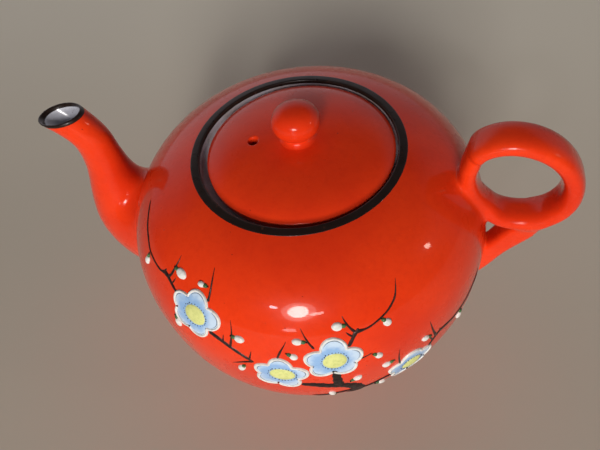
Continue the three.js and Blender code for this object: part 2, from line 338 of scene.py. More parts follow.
def field_brace(p):
    """Measured as the loop is, and closed with a rounded end."""
    xz = p[:, [0, 2]]
    ts = np.linspace(0, 1, 121)
    k = np.argmin(((xz[:, None] - spline(BRACE, ts)) ** 2).sum(-1), 1)
    t = ts[k]
    e = 1e-3
    for _ in range(3):
        lo, hi = np.clip(t - e, 0, 1), np.clip(t + e, 0, 1)
        along = (spline(BRACE, hi) - spline(BRACE, lo)) / (hi - lo)[:, None]
        t = np.clip(t + ((xz - spline(BRACE, t)) * along).sum(-1) / (along ** 2).sum(-1), 0, 1)
    along /= np.linalg.norm(along, axis=-1)[:, None]
    d = xz - spline(BRACE, t)
    a = (d * np.stack([along[:, 1], -along[:, 0]], -1)).sum(-1)
    c = (d * along).sum(-1)
    return section(a, p[:, 1], spline(BRACE_THICK, t), spline(BRACE_HALF, t), BRACE_SQUARE, c)


def melt(a, b, k):
    """The lesser of two distances, with their meeting filled over a width k."""
    h = np.maximum(k - np.abs(a - b), 0) / k
    return np.minimum(a, b) - h ** 3 * k / 6


def spout_on_pot(p):
    return melt(field_spout(p), field_body(p), FILLET)


def handle_on_pot(p):
    return melt(melt(field_loop(p), field_brace(p), BRACE_FILLET), field_body(p), HANDLE_FILLET)


def in_parts(field, p, size=20000):
    """Measures the points a batch at a time."""
    return np.concatenate([field(p[i:i + size]) for i in range(0, len(p), size)])


def slope_of(field, p, e=0.03):
    steps = np.eye(3) * e
    return np.stack([in_parts(field, p + s) - in_parts(field, p - s) for s in steps], -1) / (2 * e)


def normals_of(field, p):
    n = slope_of(field, p, 0.15)
    return n / np.linalg.norm(n, axis=1)[:, None]


def grow(field, low, high, cell):
    """Mesh of field = 0: one point per crossed cell, eased along the surface and drawn onto it."""
    low, high = np.array(low, float), np.array(high, float)
    n = np.ceil((high - low) / cell).astype(int) + 1
    axes = [low[k] + cell * np.arange(n[k]) for k in range(3)]
    pts = np.stack(np.meshgrid(*axes, indexing="ij"), -1)
    v = in_parts(field, pts.reshape(-1, 3)).reshape(n)
    count, total = np.zeros(n - 1), np.zeros((*(n - 1), 3))
    crossed = []
    for k in range(3):
        a = np.moveaxis(v, k, 0)
        x = np.moveaxis(pts, k, 0)
        hit = (a[:-1] < 0) != (a[1:] < 0)
        t = np.where(hit, a[:-1] / np.where(hit, a[:-1] - a[1:], 1), 0)[..., None]
        at = (x[:-1] * (1 - t) + x[1:] * t) * hit[..., None]
        cnt_k, tot_k = np.moveaxis(count, k, 0), np.moveaxis(total, k, 0)
        for b in (0, 1):
            for c in (0, 1):
                sl = (slice(None), slice(b, hit.shape[1] - 1 + b), slice(c, hit.shape[2] - 1 + c))
                cnt_k += hit[sl]
                tot_k += at[sl]
        crossed.append((hit, a[:-1] < 0))
    used = count > 0
    number = -np.ones(n - 1, int)
    number[used] = np.arange(used.sum())
    verts = total[used] / count[used][:, None]
    faces = []
    for k, (hit, low_in) in enumerate(crossed):
        num = np.moveaxis(number, k, 0)
        i, j, m = np.nonzero(hit[:, 1:-1, 1:-1])
        j, m = j + 1, m + 1
        quad = np.stack([num[i, j - 1, m - 1], num[i, j, m - 1],
                         num[i, j, m], num[i, j - 1, m]], -1)
        turn = low_in[i, j, m]
        quad[~turn] = quad[~turn][:, ::-1]
        faces.append(quad if k != 1 else quad[:, ::-1])
    faces = np.concatenate(faces)
    edges = np.concatenate([faces[:, [q, (q + 1) % 4]] for q in range(4)])
    for turn in range(4):
        ends = np.bincount(edges[:, 0], minlength=len(verts)).astype(float)
        mean = np.stack([np.bincount(edges[:, 0], verts[edges[:, 1], q], len(verts))
                         for q in range(3)], -1) / np.maximum(ends, 1)[:, None]
        if turn:
            verts = np.where(ends[:, None] > 0, 0.5 * verts + 0.5 * mean, verts)
        for _ in range(2):
            g = slope_of(field, verts)
            d = in_parts(field, verts)
            verts = verts - np.clip(d / (g ** 2).sum(-1), -cell, cell)[:, None] * g
    return verts, faces


def skin(name, field, low, high, material):
    """Grows a skin melted into the pot and drops what is no longer proud of the pot."""
    verts, faces = grow(field, low, high, CELL)
    proud = field_body(verts) > PROUD
    faces = faces[proud[faces].any(1)]
    keep = np.unique(faces)
    number = np.zeros(len(verts), int)
    number[keep] = np.arange(len(keep))
    verts, faces = verts[keep], number[faces]
    return make(name, verts, faces, [material], normals=normals_of(field, verts))


# ---- materials ---------------------------------------------------------------------------
class Nodes:
    """Small helper that wires a Principled material from named values."""

    def __init__(self, name):
        self.mat = bpy.data.materials.new(name)
        self.mat.use_nodes = True
        self.tree = self.mat.node_tree
        self.shader = self.tree.nodes["Principled BSDF"]
        self.where = self.tree.nodes.new("ShaderNodeTexCoord").outputs["Object"]

    def set(self, **values):
        for key, value in values.items():
            self.shader.inputs[key.replace("_", " ")].default_value = value

    def link(self, a, b):
        self.tree.links.new(a, b)

    def noise(self, scale, detail=2.0, rough=0.5):
        n = self.tree.nodes.new("ShaderNodeTexNoise")
        n.inputs["Scale"].default_value = scale
        n.inputs["Detail"].default_value = detail
        n.inputs["Roughness"].default_value = rough
        self.link(self.where, n.inputs["Vector"])
        return n.outputs["Fac"]

    def cells(self, scale):
        """Distance to the nearest cell's middle, and a random value for each cell."""
        n = self.tree.nodes.new("ShaderNodeTexVoronoi")
        n.inputs["Scale"].default_value = scale
        self.link(self.where, n.inputs["Vector"])
        return n.outputs["Distance"], n.outputs["Color"]

    def span(self, value, a, b, c, d, smooth=False):
        """Takes a to b into c to d."""
        n = self.tree.nodes.new("ShaderNodeMapRange")
        n.interpolation_type = "SMOOTHSTEP" if smooth else "LINEAR"
        for i, k in enumerate((a, b, c, d), 1):
            n.inputs[i].default_value = k
        self.link(value, n.inputs[0])
        return n.outputs[0]

    def math(self, op, a, b):
        n = self.tree.nodes.new("ShaderNodeMath")
        n.operation = op
        for i, k in enumerate((a, b)):
            if isinstance(k, (int, float)):
                n.inputs[i].default_value = k
            else:
                self.link(k, n.inputs[i])
        return n.outputs[0]

    def blend(self, fac, a, b):
        n = self.tree.nodes.new("ShaderNodeMix")
        n.data_type = "RGBA"
        self.link(fac, n.inputs["Factor"])
        for key, k in (("A", a), ("B", b)):
            socket = [s for s in n.inputs if s.name == key and s.type == "RGBA"][0]
            if isinstance(k, tuple):
                socket.default_value = (*k, 1)
            else:
                self.link(k, socket)
        return [s for s in n.outputs if s.type == "RGBA"][0]

    def bump(self, height, strength, distance, base=None):
        n = self.tree.nodes.new("ShaderNodeBump")
        n.inputs["Strength"].default_value = strength
        n.inputs["Distance"].default_value = distance
        self.link(height, n.inputs["Height"])
        if base:
            self.link(base, n.inputs["Normal"])
        return n.outputs["Normal"]

    def colour(self, socket):
        self.link(socket, self.shader.inputs["Base Color"])

    def rough(self, socket):
        self.link(socket, self.shader.inputs["Roughness"])

    def normal(self, socket):
        self.link(socket, self.shader.inputs["Normal"])
        self.link(socket, self.shader.inputs["Coat Normal"])


def red_glaze():
    m = Nodes("red_glaze")
    m.set(Coat_Weight=0.7, Coat_Roughness=0.05, Coat_IOR=1.4, IOR=1.45, Specular_IOR_Level=0.1)
    cloud = m.span(m.noise(28, 3), 0.35, 0.7, 0, 1, True)
    tone = m.blend(cloud, (0.79, 0.044, 0.007), (0.68, 0.031, 0.006))
    fine = m.span(m.noise(420, 3, 0.6), 0.45, 0.75, 0, 0.22)
    tone = m.blend(fine, tone, (0.55, 0.022, 0.006))
    dist, pick = m.cells(230)
    pit = m.math("MULTIPLY", m.span(dist, 0.035, 0.06, 1, 0), m.span(pick, 0.62, 0.66, 0, 1))
    m.colour(m.blend(pit, tone, (0.16, 0.012, 0.006)))
    m.rough(m.span(m.noise(160, 3), 0.3, 0.7, 0.24, 0.34))
    waves = m.bump(m.noise(70), 0.16, 0.0005)
    m.normal(m.bump(pit, 0.4, 0.00012, waves))
    return m.mat


def black_glaze():
    m = Nodes("black_glaze")
    m.set(Coat_Weight=0.25, Coat_Roughness=0.12, Specular_IOR_Level=0.3)
    worn = m.span(m.noise(420, 4, 0.6), 0.64, 0.72, 0, 1)
    m.colour(m.blend(worn, (0.016, 0.009, 0.007), (0.060, 0.022, 0.014)))
    m.rough(m.span(m.noise(300, 2), 0.3, 0.7, 0.25, 0.45))
    m.normal(m.bump(m.noise(320, 2), 0.25, 0.0003))
    return m.mat


def pale_glaze(name, clear, stained):
    m = Nodes(name)
    m.set(Coat_Weight=0.6, Coat_Roughness=0.06)
    stain = m.span(m.noise(60, 4, 0.6), 0.45, 0.75, 0, 1, True)
    tone = m.blend(stain, clear, stained)
    speck = m.span(m.noise(1100, 2), 0.68, 0.74, 0, 0.7)
    m.colour(m.blend(speck, tone, (0.10, 0.07, 0.05)))
    m.rough(m.span(m.noise(140, 2), 0.3, 0.7, 0.18, 0.34))
    m.normal(m.bump(m.noise(130, 2), 0.15, 0.0004))
    return m.mat


def bare_clay():
    m = Nodes("bare_clay")
    burnt = m.span(m.noise(130, 5, 0.6), 0.35, 0.7, 0, 1)
    tone = m.blend(burnt, (0.40, 0.34, 0.27), (0.27, 0.21, 0.155))
    speck = m.span(m.noise(1500, 2), 0.62, 0.7, 0, 0.8)
    m.colour(m.blend(speck, tone, (0.08, 0.05, 0.035)))
    m.rough(m.span(m.noise(800, 3), 0.3, 0.7, 0.72, 0.92))
    m.normal(m.bump(m.noise(900, 5, 0.7), 0.5, 0.0003))
    return m.mat


def enamel(name, thick, thin, grain=900, rough=0.3):
    """Raised overglaze enamel, a little uneven where the brush laid it thin."""
    m = Nodes(name)
    m.set(Coat_Weight=0.2, Coat_Roughness=0.12, Specular_IOR_Level=0.3)
    fac = m.span(m.noise(grain, 4, 0.6), 0.35, 0.75, 0, 1, True)
    m.colour(m.blend(fac, thick, thin))
    m.rough(m.span(m.noise(grain * 0.7, 2), 0.3, 0.7, rough, rough + 0.18))
    m.normal(m.bump(m.noise(grain * 0.8, 3), 0.35, 0.00015))
    return m.mat


def petal_enamel():
    """Pale blue, deeper towards the flower's heart; depth is stored on the petals."""
    m = Nodes("blue_enamel")
    m.set(Coat_Weight=0.35, Coat_Roughness=0.12)
    depth = m.tree.nodes.new("ShaderNodeAttribute")
    depth.attribute_name = "depth"
    mottle = m.span(m.noise(420, 4, 0.6), 0.3, 0.7, -0.25, 0.3)
    fac = m.math("ADD", depth.outputs["Fac"], mottle)
    m.colour(m.blend(m.span(fac, 0.0, 1.1, 0, 1, True), (0.56, 0.70, 0.86), (0.26, 0.45, 0.74)))
    m.rough(m.span(m.noise(600, 2), 0.3, 0.7, 0.28, 0.42))
    m.normal(m.bump(m.noise(700, 3), 0.4, 0.00015))
    return m.mat


def bark_enamel():
    m = Nodes("bark_enamel")
    m.set(Coat_Weight=0.1, Coat_Roughness=0.2, Specular_IOR_Level=0.25)
    dry = m.span(m.noise(520, 5, 0.7), 0.55, 0.7, 0, 0.75)
    m.colour(m.blend(dry, (0.010, 0.007, 0.007), (0.085, 0.020, 0.012)))
    m.rough(m.span(m.noise(500, 3), 0.3, 0.7, 0.35, 0.6))
    m.normal(m.bump(m.noise(600, 4, 0.7), 0.7, 0.0003))
    return m.mat


RED, BLACK, CLAY = red_glaze(), black_glaze(), bare_clay()
PALE = pale_glaze("pale_glaze", (0.56, 0.54, 0.60), (0.42, 0.38, 0.37))
# The bore's copy of the pale glaze is painted lighter: painted light for the shaded inside of the
# spout.
PAINTED_LIGHT_BORE = pale_glaze("bore_glaze_painted_light", (0.62, 0.63, 0.70), (0.48, 0.46, 0.48))


# ---- pot ---------------------------------------------------------------------------------
def pot_body():
    lip = RIM_R + 0.35
    outside = super_arc(BODY_R, -1, LOWER, BASE_R, BODY_R, 60)
    outside += super_arc(BODY_R, 1, UPPER, BODY_R, lip, 60)[1:]
    up, down = (UPPER[0] - WALL, UPPER[1]), (EQUATOR - FLOOR, LOWER[1])
    inside = super_arc(BODY_R - WALL, 1, up, lip - 0.3, BODY_R - WALL, 30)
    inside += super_arc(BODY_R - WALL, -1, down, BODY_R - WALL, 0, 40)[1:]
    under = [(0, BASE), (33.9, BASE), (38.4, BASE - 0.4)]
    outline = outside + inside + under
    index = [0] * len(outside) + [1] * (len(inside) + 2) + [0]
    obj = turned("pot_shell", outline, [RED, PALE], index, segs=256)
    ring = STRAINER["ring"]
    spots = [(0, 0)] + [(ring * math.cos(math.pi / 3 * k), ring * math.sin(math.pi / 3 * k))
                        for k in range(6)]
    for dy, dz in spots:
        start = (STRAINER["x"], dy, STRAINER["z"] + dz)
        cut(obj, drill(start, (1, 0, 0), STRAINER["hole"], STRAINER["length"], PALE))
    obj.data.set_sharp_from_angle(angle=math.radians(40))
    finish_piece(obj, "pot", "red_glaze", "pot_body")


def drill(start, along, radius, length, material, sides=28):
    """Straight round cutter."""
    z = Vector(along).to_track_quat("Z", "Y")
    rings = []
    for d in (0, length):
        for k in range(sides):
            a = 2 * math.pi * k / sides
            rings.append(Vector(start) + z @ Vector((radius * math.cos(a), radius * math.sin(a), d)))
    faces = [list(f) for f in grid_faces(2, sides, False, True)]
    faces += [list(range(sides)), list(range(2 * sides - 1, sides - 1, -1))]
    return tidy(make("drill", [tuple(p) for p in rings], faces, [material]))


def foot_ring():
    outline = rounded([(34.2, 4.7, 0), (34.2, 0, 0.9), (38.5, 0, 1.0), (38.6, 4.7, 0)])
    finish_piece(turned("foot_ring_bare", outline, [CLAY], sharp=50),
                 "pot", "bare_clay", "foot_ring")


def mouth_ring():
    """The black lip, and inside it the pale seat with the ledge that carries the lid."""
    lip = rounded([(41.0, 107.6, 0), (40.7, 108.3, 0.9), (37.5, 108.6, 1.5), (37.4, 107.0, 0)], 9)
    seat = rounded([(GALLERY_R, 106.9, 0), (GALLERY_R, LEDGE_Z, 1.2), (LEDGE_R, LEDGE_Z, 0.5),
                    (LEDGE_R, 100.4, 0.5), (40.0, 100.3, 0)])
    index = [0] * (len(lip) - 1) + [1] * len(seat) + [0]
    obj = turned("mouth_lip", lip + seat, [BLACK, PALE], index, segs=256, sharp=55)
    finish_piece(obj, "pot", "black_glaze", "mouth_ring")


# ---- spout -------------------------------------------------------------------------------
def spout_ring(t, inset, rise, count=72):
    """Ring of points round one station, drawn in by inset, rise mm above the station's height."""
    mid, arm, reach, half = (k[0] for k in spout_frame(np.array([t + rise / MOUTH_RISE])))
    a = np.linspace(0, 2 * math.pi, count, endpoint=False)
    xz = mid + (reach - inset) * np.cos(a)[:, None] * arm
    return np.stack([xz[:, 0], (half - inset) * np.sin(a), xz[:, 1]], -1)


def spout():
    obj = skin("spout_skin", spout_on_pot, (-116, -38, 6), (-44, 38, 124), RED)
    trim_spout(obj)
    finish_piece(obj, "pot", "red_glaze", "spout")

    # The lip: from the skin over the round rim and down the bore.
    turns = [(0.3, -1.2), (0.05, -0.9), (-0.03, -0.3), (0.15, 0.12), (0.5, 0.25), (0.85, 0.1),
             (1.1, -0.35), (SPOUT_WALL, -1.2)]
    rings = np.array([spout_ring(MOUTH, inset, rise) for inset, rise in turns])
    faces = grid_faces(len(rings), rings.shape[1], False, True)
    lip = tidy(make("spout_lip", rings.reshape(-1, 3), faces, [BLACK]))
    finish_piece(lip, "pot", "black_glaze")

    # The bore starts just inside the lip.
    rings = np.array([spout_ring(t, SPOUT_WALL + THICKENING * (MOUTH - t), -1.1)
                      for t in np.linspace(MOUTH, BORE_END, 60)])
    faces = grid_faces(len(rings), rings.shape[1], False, True)[:, ::-1]
    # The bore wears the lighter copy of the pale glaze, painted light for its shaded inside.
    finish_piece(make("spout_bore", rings.reshape(-1, 3), faces, [PAINTED_LIGHT_BORE]), "pot", "red_glaze")


def trim_spout(obj):
    """Cuts the grown skin off square at the mouth, just under the lip."""
    ring = place(spout_ring(MOUTH, 0, -0.9))
    centre = ring.mean(0)
    n = np.cross(ring[0] - centre, ring[len(ring) // 4] - centre)
    n = n / np.linalg.norm(n)
    n = n if n[2] > 0 else -n
    bm = bmesh.new()
    bm.from_mesh(obj.data)
    geom = bm.verts[:] + bm.edges[:] + bm.faces[:]
    bmesh.ops.bisect_plane(bm, geom=geom, plane_co=centre, plane_no=n, clear_outer=True)
    bm.to_mesh(obj.data)
    bm.free()
    verts = (np.array([v.co for v in obj.data.vertices]) - (AXIS, 0, 0)) * 1000
    obj.data.polygons.foreach_set("use_smooth", [True] * len(obj.data.polygons))
    obj.data.normals_split_custom_set_from_vertices(normals_of(spout_on_pot, verts).tolist())


# ---- handle ------------------------------------------------------------------------------
def handle():
    obj = skin("handle_strap", handle_on_pot, (52, -11, 29), (108, 11, 128), RED)
    finish_piece(obj, "pot", "red_glaze", "handle_loop", "handle_brace")


# ---- lid ---------------------------------------------------------------------------------
def lid_top(q):
    """Height of the lid's top: a shallow dome that rolls down close to the edge."""
    q = np.asarray(q, float) / LID_R
    return LID_TOP - DOME * q ** 2 - ROLL * q ** 9


def lid():
    top = [(q, float(lid_top(q))) for q in np.linspace(0, LID_R - 0.8, 60)]
    edge = rounded([top[-1] + (0,), (LID_R, 107.15, 0.7), (LID_R, 104.4, 0.6),
                    (LID_R - 1.0, 104.1, 0)])
    under = [(27.2, 104.1), (24.5, 105.9), (17, 108.1), (8, 109.2), (0, 109.5)]
    outline = top + edge[1:] + under
    glazed = len(top) + len(edge) - 5                 # steps down to the foot of the edge
    index = [0] * glazed + [1] * (len(outline) - glazed)
    obj = turned("lid_dome", outline, [RED, CLAY], index, shift=LID_SHIFT)
    cut(obj, vent())
    obj.data.set_sharp_from_angle(angle=math.radians(50))
    finish_piece(obj, "lid", "red_glaze", "lid_plate")

    collar = rounded([(27.6, 104.2, 0), (27.6, 95, 0.9), (30.2, 95, 0.9), (30.2, 104.2, 0)])
    finish_piece(turned("lid_collar", collar, [CLAY], sharp=50, shift=LID_SHIFT),
                 "lid", "bare_clay", "lid_flange")

    knob = [tuple(p) for p in spline(KNOB, np.linspace(0, 1, 70))]
    knob[-1] = KNOB[-1]
    finish_piece(turned("lid_knob_ball", knob + [(0, 112.3)], [RED], segs=96, shift=LID_SHIFT),
                 "lid", "red_glaze", "lid_knob")


def vent():
    """Cutter for the steam hole, flared where it meets the lid's top."""
    x, y, r = VENT
    z = float(lid_top(math.hypot(x, y)))
    flare = [(0, -8), (r, -8), (r, -0.7), (r + 0.12, -0.35), (r + 0.4, -0.08), (r + 0.8, 0.02),
             (r + 0.8, 3), (0, 3)]
    return turned("vent_cut", [(a, b + z) for a, b in flare], [RED], segs=40,
                  shift=LID_SHIFT + (x, y, 0))


# ---- painting: raised enamel on the glaze ------------------------------------------------
# Boughs and twigs as (azimuth in degrees, arc above the equator, width in mm).
BOUGHS = [
    [(-154, 47.5, .5), (-149.5, 45.2, .8), (-144.5, 42.4, 1.0), (-140, 40.4, 1.0),
     (-136.5, 38.8, .9), (-130, 38.1, .9), (-127.4, 38.6, 1.1), (-125.6, 39.3, 2.0),
     (-123.4, 38.7, 1.6), (-120.5, 37.2, 1.3), (-117.5, 35.8, 1.2)],
    [(-124.2, 39.2, 1.4), (-123.2, 41, 1.2), (-122.8, 44, .9), (-122.6, 47, .5), (-122.9, 49.6, .2)],
    [(-121.8, 38.2, .8), (-121.2, 39.6, .6), (-120.9, 41.3, .3)],
    [(-126.6, 39.3, 1.2), (-126.2, 40.2, .9), (-125.9, 41, .4)],
    [(-105.2, 28.9, 1.9), (-102.5, 27.8, 2.0), (-99.5, 26.1, 1.8), (-96.4, 23.9, 1.7),
     (-93.8, 21.9, 1.5), (-91.9, 20.2, .8)],
    [(-98.5, 25.2, 1.2), (-98.1, 28.5, .9), (-97.9, 33, .6), (-98.5, 37.6, .2)],
    [(-100.7, 26.8, .9), (-100.6, 28.4, .6), (-100.5, 30.4, .3)],
    [(-93.0, 21.8, .9), (-92.6, 24, .6), (-92.2, 26.3, .25)],
    [(-92.2, 20.4, 1.0), (-95, 18.8, .8), (-98.9, 15.5, .25)],
    [(-106.8, 40.6, 1.2), (-106.7, 43.5, .9), (-107.2, 48, .7), (-108.1, 52.8, .25)],
    [(-85, 24.5, .9), (-84, 27.8, .8), (-82.9, 30.5, .5), (-82, 32.8, .2)],
    [(-74.6, 29.2, .9), (-76, 32.2, .8), (-77, 35.2, .5), (-77.8, 38, .2)],
    [(-65.4, 27.8, 1.5), (-64.4, 29.9, 1.4), (-63.4, 31.9, 1.5), (-62.4, 33, 1.7),
     (-60.2, 33.1, 1.0), (-58, 33.6, .8), (-55.4, 34.8, .8), (-52.6, 36.4, .8),
     (-50.2, 38.5, .9), (-48.9, 40.2, .8), (-47.8, 42.5, .5), (-46.6, 45.5, .2)],
    [(-62.8, 33, 1.2), (-64.1, 35.3, .9), (-65.1, 38, .6), (-65.6, 40.2, .25)],
    [(-63.7, 31.5, 1.0), (-64.7, 32.7, .7), (-65.5, 34, .35)],
    [(-62.3, 33.1, 1.4), (-62.1, 33.8, 1.1), (-61.9, 34.3, .6)],
    [(-63.6, 20, .9), (-61.5, 20.4, .6), (-59.5, 21.2, .5)],
    [(-51.3, 3, 1.0), (-51.7, 8, .8), (-51.8, 12, .5), (-51.5, 16.2, .2)],
    [(-41.6, .5, 1.3), (-40, 4, 1.6), (-38.4, 6.6, 1.9), (-36.6, 7.8, 2.6), (-33.8, 7.2, 2.2),
     (-31, 6.2, 2.1), (-28, 6, 2.2), (-24.5, 6.4, 2.1), (-21, 8.2, 1.6), (-17.6, 11, .9),
     (-15.5, 14, .3)],
    [(-38.6, 6.6, 1.5), (-39.8, 12, 1.0), (-40.6, 16.6, .6), (-41.1, 21, .2)],
    [(-39.8, 4.8, 1.1), (-40.8, 8.4, .7), (-41.4, 10.4, .5)],
    [(-37, 8.2, 1.1), (-37.1, 9.2, .7), (-37.2, 10.2, .3)],
]
TRUNK = [
    [(-70.1, 16.5, 2.6), (-69.9, 13, 3.0), (-69.8, 9, 3.4), (-69.7, 5, 3.9), (-69.6, 1, 4.4)],
    [(-79.8, 6.6, 2.2), (-78.3, 6, 3.2), (-76, 5.2, 4.2), (-73, 3.4, 4.3), (-70.5, 2, 4.2),
     (-68, .6, 4.6), (-66, -1.5, 5.2), (-64.6, -4.5, 5.6), (-64.2, -9, 6.2), (-64.6, -14, 7),
     (-65.6, -20, 8), (-66, -27, 9), (-65, -34, 10.5)],
    [(-66, -7.6, 2.2), (-69.5, -8.5, 1.8), (-72.5, -9.8, 1.4), (-75.5, -10, .8), (-78, -9, .3)],
    [(-64, -9, 2.2), (-61, -8.6, 2.0), (-58.5, -7, 1.8), (-55.5, -5.2, 1.6), (-53, -5, 1.2)],
]
# Buds: azimuth, arc, half length, half width, and where the calyx sits.
BUDS = [
    (-136.4, 34.8, 1.8, 1.4, -136.7, 38.0), (-119.4, 44.1, 2.5, 1.8, -121.6, 44.3),
    (-110.6, 45.3, 1.5, 1.1, -108.9, 45.5), (-95.5, 30.7, 1.9, 1.5, -97.4, 31.0),
    (-96.1, 14.0, 2.1, 1.4, -95.1, 16.3), (-117.2, 23.2, 2.0, 1.5, -118.6, 26.4),
    (-80.4, 26.0, 1.6, 1.3, -82.2, 27.5), (-79.0, 32.7, 1.8, 1.3, -77.4, 32.5),
    (-67.5, 36.8, 1.9, 1.6, -65.5, 36.6), (-53.6, 32.4, 1.6, 1.5, -54.5, 33.9),
    (-57.8, 18.5, 1.7, 1.4, -59.1, 20.2), (-55.7, 9.2, 1.8, 1.4, -53.6, 9.9),
    (-64.2, 6.1, 1.9, 1.3, -65.8, 4.8), (-43.0, 12.2, 1.8, 1.4, -41.4, 11.2),
    (-71.9, -7.4, 2.0, 1.3, -71.0, -10.4), (-56.6, -11.2, 2.0, 1.4, -58.4, -9.8),
    (-26.9, 0.4, 2.1, 1.4, -26.2, 3.6),
]
# Flowers: azimuth, arc, half width and half height of the heart, then each petal's angle,
# reach from the middle and half width.
FLOWERS = [
    (-110.4, 33.1, 4.9, 4.1, [(91, 9.8, 4.5), (166, 11.2, 4.0), (216, 10.7, 4.3),
                              (283, 9.4, 4.3), (10, 10.7, 4.1)]),
    (-84.4, 15.0, 5.0, 4.3, [(93, 9.8, 4.0), (163, 10.2, 3.9), (221, 11.6, 4.3),
                             (284, 10.9, 4.3), (9, 9.6, 3.9)]),
    (-69.7, 22.3, 4.5, 4.3, [(88, 10.7, 4.4), (164, 10.6, 3.9), (223, 10.7, 4.0),
                             (302, 10.0, 4.3), (8, 10.0, 4.1)]),
    (-47.2, -2.4, 4.6, 4.3, [(92, 10.3, 4.4), (163, 10.3, 4.1), (226, 10.4, 4.2),
                             (298, 10.2, 4.3), (14, 9.9, 4.1)]),
]


class Enamel:
    """One colour of enamel: patches laid on the pot's outside, joined into one piece."""

    def __init__(self):
        self.verts, self.faces, self.depth = [], [], []

    def patch(self, pts, wrap=False, depth=0.0):
        """Adds a grid of points; depth says how deep its colour is."""
        rows, cols = pts.shape[:2]
        self.faces.append(grid_faces(rows, cols, False, wrap, sum(map(len, self.verts))))
        self.verts.append(pts.reshape(-1, 3))
        self.depth.append(np.broadcast_to(depth, (rows, cols)).ravel())

    def done(self, name, material):
        """Makes the piece, with every patch facing outwards."""
        verts, faces = np.concatenate(self.verts), np.concatenate(self.faces)
        a, b, c, d = (verts[faces[:, k]] for k in range(4))
        out = (a + c) / 2 - (0, 0, EQUATOR)
        turned_in = (np.cross(c - a, d - b) * out).sum(1) < 0
        faces[turned_in] = faces[turned_in][:, ::-1]
        obj = make(name, verts, faces, [material])
        mark = obj.data.attributes.new("depth", "FLOAT", "POINT")
        mark.data.foreach_set("value", np.concatenate(self.depth).astype(np.float32))
        finish_piece(obj, "pot", "red_glaze")


def local(az, s, x, y, lift):
    """Point x mm round and y mm up from a place on the pot."""
    r = float(np.interp(s, ARC, ARC_R))
    return on_pot(az + np.degrees(np.asarray(x) / r), s + np.asarray(y), lift)


def ribbon(enamel, az, s, x, y, width, lift, base=-0.04):
    """Rounded bead along a path of local points."""
    dx, dy = np.gradient(x), np.gradient(y)
    size = np.hypot(dx, dy)
    v = np.linspace(-1, 1, 7)
    px = x[:, None] - (dy / size * width / 2)[:, None] * v
    py = y[:, None] + (dx / size * width / 2)[:, None] * v
    top = base + (lift - base) * (1 - v ** 2) ** 0.6 * np.minimum(1, width / 0.7)[:, None]
    enamel.patch(local(az, s, px, py, top))


def bough(enamel, points, lift, wobble):
    """Bead of a slightly uneven width through the points, with rounded ends."""
    p = np.array(points, float)
    az, s = p[0, :2]
    r = np.interp(s, ARC, ARC_R)
    xy = np.stack([np.radians(p[:, 0] - az) * r, p[:, 1] - s, p[:, 2]], -1)
    length = np.hypot(*np.diff(xy[:, :2], axis=0).T).sum()
    t = np.linspace(0, 1, max(8, int(length / 0.5)))
    x, y, w = spline(xy, t).T
    run = t * length
    w = w * (1 + wobble * np.sin(1.7 * run + az) + 0.6 * wobble * np.sin(4.1 * run + s))
    w = np.maximum(w, 0.12) * np.minimum(1, np.minimum(run, length - run) / 0.35 + 0.25)
    ribbon(enamel, az, s, x, y, w, lift)


def dome(enamel, az, s, x, y, rx, ry, lift, turn=0.0, depth=None, flat=4.0, rings=9, count=40):
    """Low oval mound round the local point x, y."""
    q = np.linspace(0, 1, rings)[:, None] ** 0.8
    a = np.linspace(0, 2 * math.pi, count, endpoint=False)[None]
    u, v = q * rx * np.cos(a), q * ry * np.sin(a)
    px = x + u * math.cos(turn) - v * math.sin(turn)
    py = y + u * math.sin(turn) + v * math.cos(turn)
    top = -0.05 + (lift + 0.05) * np.sqrt(np.clip(1 - q ** flat, 0, 1))
    enamel.patch(local(az, s, px, py, top), True, 0.0 if depth is None else depth(px, py))


def along_oval(oval, b, inset=0.0):
    """Points at the angles b round a petal's oval, drawn in by inset."""
    turn, mid, half = oval
    u, v = (PETAL - inset) * np.cos(b), (half - inset) * np.sin(b)
    return (mid[0] + u * math.cos(turn) - v * math.sin(turn),
            mid[1] + u * math.sin(turn) + v * math.cos(turn))


def outside_oval(oval, x, y):
    turn, mid, half = oval
    u = (x - mid[0]) * math.cos(turn) + (y - mid[1]) * math.sin(turn)
    v = -(x - mid[0]) * math.sin(turn) + (y - mid[1]) * math.cos(turn)
    return (u / PETAL) ** 2 + (v / half) ** 2 > 0.99


def outline_petal(k, ovals, az, s, white, grey):
    """White edge and thin dark line where petal k is not under its neighbours."""
    b = np.linspace(-math.pi, math.pi, 90)
    x, y = along_oval(ovals[k], b)
    free = np.abs(b) < 2.4
    for j, other in enumerate(ovals):
        if j != k:
            free &= outside_oval(other, x, y)
    run = np.nonzero(free)[0]
    run = np.arange(run.min(), run.max() + 1)
    swell = 1.15 + 0.14 * np.sin(3 * b[run] + 1.7 * k)
    ribbon(white, az, s, x[run], y[run], swell, 0.62)
    inner = run[4:-4]
    x, y = along_oval(ovals[k], b, 0.82)
    fade = np.sin(np.linspace(0.12, math.pi - 0.12, len(inner)))
    ribbon(grey, az, s, x[inner], y[inner], 0.12 + 0.2 * fade, 0.46, 0.2)


def stamens(grey, az, s, rx, ry):
    """Ring of dots close round the heart, a little uneven in place and size."""
    for k in range(STAMENS):
        a = 2 * math.pi * k / STAMENS + 0.04 * math.sin(5 * k)
        out = 1.02 + 0.03 * math.sin(3 * k)
        size = 0.26 + 0.07 * math.sin(7 * k + 1)
        dome(grey, az, s, rx * out * math.cos(a), ry * out * math.sin(a), size, size * 1.2,
             0.62, a, flat=2, rings=4, count=10)


